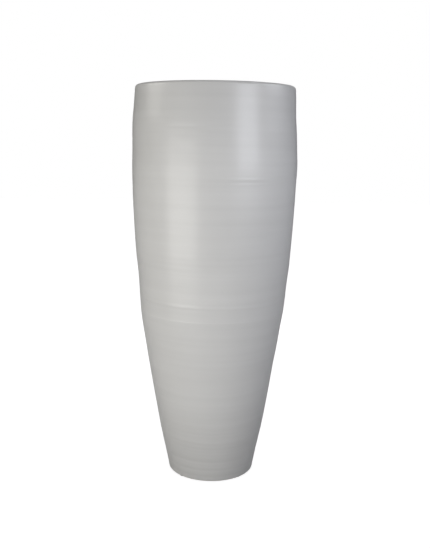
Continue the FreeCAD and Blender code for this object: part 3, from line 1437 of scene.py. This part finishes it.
@dataclass
class SeamCoil:
    """The coil of clay that is pressed over a seam inside and smoothed with the fingers."""

    name: str
    node: str
    below: WallArc
    above: WallArc
    seed: int
    thickness: float = 5.0 * MM
    clearance: float = 0.1 * MM
    face_steps: int = 18
    finger_width: float = 19.0 * MM
    finger_height: float = 12.0 * MM
    finger_depth: float = 0.9 * MM
    finger_wander: float = 3.0 * MM
    uneven_share: float = 0.2
    lightest_share: float = 0.5
    deepest_share: float = 0.4
    edge_thickness: float = 0.4 * MM

    def outline(self, low: float, high: float) -> list[Point]:
        """The coil's half section, from its lower edge up the back and down the face.

        Args:
            low: The height of its lower edge.
            high: The height of its upper edge.

        Returns:
            The points, as radius and height.
        """
        middle = (low + high) / 2
        seam = self.above.low[0] - self.clearance
        bottom = (self.below.radius(low) - self.clearance, low)
        top = (self.above.radius(high) - self.clearance, high)
        points = [bottom, (seam, middle), top]
        for step in range(1, self.face_steps + 1):
            share = step / self.face_steps
            chord = top[0] + (bottom[0] - top[0]) * share
            straight = (top[0] + bottom[0]) / 2
            bulge = 4 * share * (1 - share) * (straight - (seam - self.thickness))
            points.append((chord - bulge, high + (low - high) * share))
        return points

    def touches(self, radius: float, middle: float) -> list[FingerTouch]:
        """Where the fingers pressed, once round the coil.

        Args:
            radius: The wall's radius at the seam.
            middle: The height of the seam.

        Returns:
            The touches, in order.
        """
        draw = random.Random(self.seed)
        count = round(2 * math.pi * radius / self.finger_width)
        half_width = math.degrees(self.finger_width / radius)
        return [
            FingerTouch(
                azimuth=360 * (number + draw.uniform(-self.uneven_share, self.uneven_share)) / count,
                height=middle + draw.uniform(-self.finger_wander, self.finger_wander),
                depth=draw.uniform(self.lightest_share, 1.0) * self.finger_depth,
                half_width=half_width,
                half_height=self.finger_height / 2,
            )
            for number in range(count)
        ]

    def lift_at(self, place: Vector, middle: float, touches: list[FingerTouch]) -> float:
        """How far the touches lift the coil's face at a place, with its back left as it is.

        Args:
            place: The place.
            middle: The height of the seam.
            touches: The fingers' touches.

        Returns:
            The lift, in metres.
        """
        back = (self.below if place.z < middle else self.above).radius(place.z)
        proud = back - across(place)
        if proud < self.edge_thickness:
            return 0.0
        pressed = sum(touch.lift(place.z, azimuth_of(place)) for touch in touches)
        return max(pressed, -self.deepest_share * proud)

    def build(self, wobble: Wobble, finishes: Finishes) -> bpy.types.Object:
        """Roll the coil round the seam and press it on.

        Args:
            wobble: The lattice that bends the whole wall.
            finishes: The materials.

        Returns:
            The coil, in its node's place.
        """
        low, high = (corner.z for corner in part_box(self.node))
        middle = (low + high) / 2
        wheel = Wheel(self.name)
        wheel.draw(self.outline(low, high))
        piece = wheel.turn()
        touches = self.touches(self.above.low[0], middle)
        press(piece, [self.lift_at(vertex.co, middle, touches) for vertex in piece.data.vertices])
        turn_faces_out(piece)
        dress(piece, finishes.glaze)
        wobble.bend(piece)
        smooth(piece, TIGHT_CREASE)
        return place_piece(piece, self.node)


@dataclass
class FloorPads:
    """Felt discs under the foot ring, each with soft edges and a top drawn in a little."""

    name: str = "felt_floor_pads"
    node: str = "floor_pads"
    count: int = 4
    radius: float = 6.0 * MM
    sides: int = 48
    soft_edge: float = 0.5 * MM
    edge_steps: int = 4
    top_share: float = 0.985
    face_rings: int = 2

    def build(self, finishes: Finishes) -> bpy.types.Object:
        """Cut one disc, copy it round the foot and join them all.

        Args:
            finishes: The materials.

        Returns:
            The pads as one piece, in their node's place.
        """
        low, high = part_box(self.node)
        thickness = high.z - low.z
        offset = high.x - self.radius
        bpy.ops.object.select_all(action="DESELECT")
        bpy.ops.mesh.primitive_cylinder_add(
            vertices=self.sides,
            radius=self.radius,
            depth=thickness,
            location=(offset, offset, low.z + thickness / 2),
        )
        disc = bpy.context.object
        bpy.ops.object.transform_apply(location=True, rotation=True, scale=True)
        self.soften(disc, offset, high.z)
        discs = [disc]
        for number in range(1, self.count):
            copy = disc.copy()
            copy.data = disc.data.copy()
            copy.data.transform(Matrix.Rotation(2 * math.pi * number / self.count, 4, "Z"))
            bpy.context.collection.objects.link(copy)
            discs.append(copy)
        bpy.ops.object.select_all(action="DESELECT")
        for each in discs:
            each.select_set(True)
        bpy.context.view_layer.objects.active = disc
        bpy.ops.object.join()
        disc.name = self.name
        dress(disc, finishes.felt)
        smooth(disc, TIGHT_CREASE)
        return place_piece(disc, self.node)

    def soften(self, disc: bpy.types.Object, offset: float, top: float) -> None:
        """Round the disc's edges, draw in its top face and divide its faces.

        Args:
            disc: The disc.
            offset: The X and the Y of its middle.
            top: The height of its top face.
        """
        bevel = disc.modifiers.new("soft_edge", "BEVEL")
        bevel.width = self.soft_edge
        bevel.segments = self.edge_steps
        bevel.limit_method = "ANGLE"
        apply_modifier(disc, bevel)
        scale = (self.top_share, self.top_share, 1)
        with editing(disc):
            select_vertices(disc, lambda place: place.z > top - WELD)
            bpy.ops.transform.resize(value=scale, center_override=(offset, offset, top))
            bpy.ops.mesh.select_mode(type="FACE")
            for _ in range(self.face_rings):
                bpy.ops.mesh.inset(thickness=self.radius / (self.face_rings + 1))


def place_piece(piece: bpy.types.Object, node: str) -> bpy.types.Object:
    """Give a finished piece its body, and hide the part of the node that it stands for.

    Args:
        piece: The mesh object.
        node: The name of the node.

    Returns:
        The same piece.
    """
    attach(piece, "root")
    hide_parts(node)
    return piece


@dataclass
class Vase:
    """The whole vase: its sizes, and its pieces in the order in which they are made."""

    foot_radius: float = 89.5 * MM
    foot_wall: float = 13.0 * MM
    lower_wall: float = 10.5 * MM
    upper_wall: float = 9.5 * MM
    rim_wall: float = 11.0 * MM
    rim_draw_in: float = 7.0 * MM
    base_belly: float = 2.9 * MM
    middle_belly: float = 2.5 * MM
    top_belly: float = 2.1 * MM
    floor_height: float = 16.0 * MM

    def build(self, finishes: Finishes) -> list[bpy.types.Object]:
        """Build every piece.

        Args:
            finishes: The materials.

        Returns:
            The pieces, from the foot up.
        """
        lower = Joint("base_section", "lower_joint_slip", self.lower_wall)
        upper = Joint("middle_section", "upper_joint_slip", self.upper_wall)
        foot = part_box("base_section")[0].z
        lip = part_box("top_section")[1].z
        rim = upper.radius - self.rim_draw_in
        inner_foot = (self.foot_radius - self.foot_wall, foot + self.floor_height)
        base_outer = WallArc((self.foot_radius, foot), (lower.radius, lower.seam), self.base_belly)
        base_inner = WallArc(inner_foot, (lower.inner, lower.seam), self.base_belly)
        middle_outer = WallArc((lower.radius, lower.foot), (upper.radius, upper.seam), self.middle_belly)
        middle_inner = WallArc((lower.inner, lower.foot), (upper.inner, upper.seam), self.middle_belly)
        top_outer = WallArc((upper.radius, upper.foot), (rim, lip), self.top_belly)
        top_inner = WallArc((upper.inner, upper.foot), (rim - self.rim_wall, lip), self.top_belly)
        base = BaseRing(
            name="thrown_base",
            node="base_section",
            outer=base_outer,
            inner=base_inner,
            joint=lower,
        )
        middle = MiddleRing(
            name="thrown_middle",
            node="middle_section",
            outer=middle_outer,
            inner=middle_inner,
            lower=lower,
            upper=upper,
        )
        top = TopRing(
            name="thrown_top",
            node="top_section",
            outer=top_outer,
            inner=top_inner,
            joint=upper,
        )
        fired_pieces = [
            base,
            JointSlip("lower_slip", "lower_joint_slip", lower),
            SeamCoil("lower_coil", "lower_seam_coil", base_inner, middle_inner, seed=7),
            middle,
            JointSlip("upper_slip", "upper_joint_slip", upper),
            SeamCoil("upper_coil", "upper_seam_coil", middle_inner, top_inner, seed=11),
            top,
        ]
        wobble = Wobble()
        pieces = [FloorPads().build(finishes)]
        pieces += [fired.build(wobble, finishes) for fired in fired_pieces]
        wobble.clear()
        return pieces


# Studio


@dataclass(frozen=True)
class Softbox:
    """A soft rectangular lamp that faces the vase, level or dipped by an angle in degrees."""

    name: str
    azimuth: float
    distance: float
    height: float
    width: float
    tall: float
    radiance: float
    colour: Colour = WHITE
    mirrored: bool = True
    dip: float = 0.0

    def place(self) -> None:
        """Set the lamp up and turn it towards the vase."""
        turn = math.radians(self.azimuth)
        spot = (self.distance * math.sin(turn), -self.distance * math.cos(turn), self.height)
        bpy.ops.object.select_all(action="DESELECT")
        facing = (math.radians(90 - self.dip), 0, turn)
        bpy.ops.object.light_add(type="AREA", location=spot, rotation=facing)
        lamp = bpy.context.object
        lamp.name = self.name
        lamp.data.shape = "RECTANGLE"
        lamp.data.size = self.width
        lamp.data.size_y = self.tall
        lamp.data.energy = self.radiance * math.pi * self.width * self.tall
        lamp.data.color = self.colour
        lamp.visible_glossy = self.mirrored


@dataclass(frozen=True)
class Studio:
    """The plain floor, the soft light and the camera."""

    camera_place: tuple[float, float, float] = (4.3 * MM, -1508.3 * MM, 693.2 * MM)
    pitch: float = 10.28
    roll: float = 0.83
    lens: float = 48.31
    film: float = 36.0
    floor_width: float = 14.0
    floor_albedo: float = 0.25
    floor_glow: float = 0.89
    glow_rise: Span = (0.5, 2.2)
    floor_in_glaze: float = 0.12
    front_span: Span = (-0.6, 0.3)
    ahead_span: Span = (-1.0, -0.5)
    left_span: Span = (-1.0, 1.0)
    front_air: Colour = (1.89, 1.88, 1.83)
    back_air: Colour = (0.14, 0.14, 0.145)
    back_in_glaze: Colour = (0.02, 0.02, 0.02)
    softboxes: tuple[Softbox, ...] = (
        Softbox("left_softbox", -42, 1.1, 0.39, 0.80, 0.66, 3.0, (1.0, 0.985, 0.94)),
        Softbox("right_softbox", 42, 1.1, 0.86, 0.54, 0.66, 3.8, (0.93, 0.95, 1.02)),
        Softbox("left_side_softbox", -90, 1.4, 1.35, 0.70, 0.70, 4.4, (1.0, 0.985, 0.94)),
        Softbox("right_side_softbox", 90, 1.4, 1.35, 0.70, 0.70, 3.8, (0.93, 0.95, 1.02)),
        Softbox("low_softbox", 0, 0.85, 0.12, 0.90, 0.20, 1.76, mirrored=False),
        Softbox("rear_softbox", 180, 1.6, 0.85, 1.20, 1.00, 3.4, mirrored=False),
        Softbox("top_softbox", 0, 0.0, 2.2, 0.70, 0.70, 2.4, mirrored=False, dip=90),
    )

    def set_up(self) -> None:
        """Lay the floor, light the vase and place the camera."""
        self.lay_floor()
        self.fill_air()
        for softbox in self.softboxes:
            softbox.place()
        self.place_camera()
        bpy.context.scene.view_settings.view_transform = "Standard"

    def lay_floor(self) -> None:
        """A plain pale floor, white to the eye but with the vase's shadow on it near the foot."""
        bpy.ops.object.select_all(action="DESELECT")
        bpy.ops.mesh.primitive_plane_add(size=self.floor_width, location=(0, 0, 0))
        floor = bpy.context.object
        floor.name = "studio_floor"
        material, bench = Bench.for_material("pale_floor")
        matt = bench.add("BsdfDiffuse", {"Color": (self.floor_albedo,) * 3})
        is_mirrored = bench.add("LightPath").outputs["Is Glossy Ray"]
        away = bench.add("VectorMath", {"Vector": bench.place()}, operation="LENGTH").outputs["Value"]
        white = bench.spread(away, self.glow_rise, (self.floor_glow, 1.0))
        seen = bench.maths("MULTIPLY", bench.seen_directly(), white)
        mirrored = bench.maths("MULTIPLY", is_mirrored, self.floor_in_glaze)
        strength = bench.maths("MAXIMUM", seen, mirrored)
        glow = bench.add("Emission", {"Color": WHITE, "Strength": strength})
        both = bench.add("AddShader")
        bench.feed(both.inputs[0], matt.outputs["BSDF"])
        bench.feed(both.inputs[1], glow.outputs["Emission"])
        bench.send_out(both)
        floor.data.materials.append(material)
        floor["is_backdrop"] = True

    def fill_air(self) -> None:
        """A white surround to look at, and a soft dim one to light by, brightest in front on the left."""
        world = bpy.data.worlds.new("studio_air")
        bpy.context.scene.world = world
        world.use_nodes = True
        bench = Bench(world.node_tree)
        is_mirrored = bench.add("LightPath").outputs["Is Glossy Ray"]
        way = bench.add("SeparateXYZ", {"Vector": bench.add("TexCoord").outputs["Generated"]}).outputs
        front = bench.spread(way["Y"], self.front_span, FALLING)
        ahead = bench.spread(way["Y"], self.ahead_span, FALLING)
        left = bench.spread(way["X"], self.left_span, FALLING)
        dim = bench.mix(front, self.back_air, BLACK)
        soft = bench.mix(bench.maths("MULTIPLY", ahead, left), dim, self.front_air)
        mirrored = bench.mix(front, self.back_in_glaze, WHITE)
        lit = bench.mix(is_mirrored, soft, mirrored)
        colour = bench.mix(bench.seen_directly(), lit, WHITE)
        bench.send_out(bench.add("Background", {"Color": colour, "Strength": 1.0}), "OutputWorld")

    def place_camera(self) -> None:
        """Put the camera where the photographer stood."""
        bpy.ops.object.select_all(action="DESELECT")
        bpy.ops.object.camera_add(location=self.camera_place)
        camera = bpy.context.object
        camera.name = "studio_camera"
        tilt = Matrix.Rotation(math.radians(90 - self.pitch), 4, "X")
        roll = Matrix.Rotation(math.radians(self.roll), 4, "Z")
        camera.matrix_world = Matrix.Translation(self.camera_place) @ tilt @ roll
        camera.data.sensor_fit = "VERTICAL"
        camera.data.sensor_height = self.film
        camera.data.lens = self.lens
        bpy.context.scene.camera = camera


def report(pieces: list[bpy.types.Object]) -> None:
    """Log the size of each piece's mesh.

    Args:
        pieces: The pieces.
    """
    for piece in pieces:
        triangles = sum(len(face.vertices) - 2 for face in piece.data.polygons)
        LOG.info("%s: %d triangles", piece.name, triangles)


def main() -> None:
    """Build the vase, dress it and set up the studio."""
    logging.basicConfig(level=logging.INFO, format="%(name)s: %(message)s")
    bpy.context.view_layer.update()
    pieces = Vase().build(Finishes.make())
    report(pieces)
    Studio().set_up()
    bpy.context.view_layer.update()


if __name__ == "__main__":
    main()
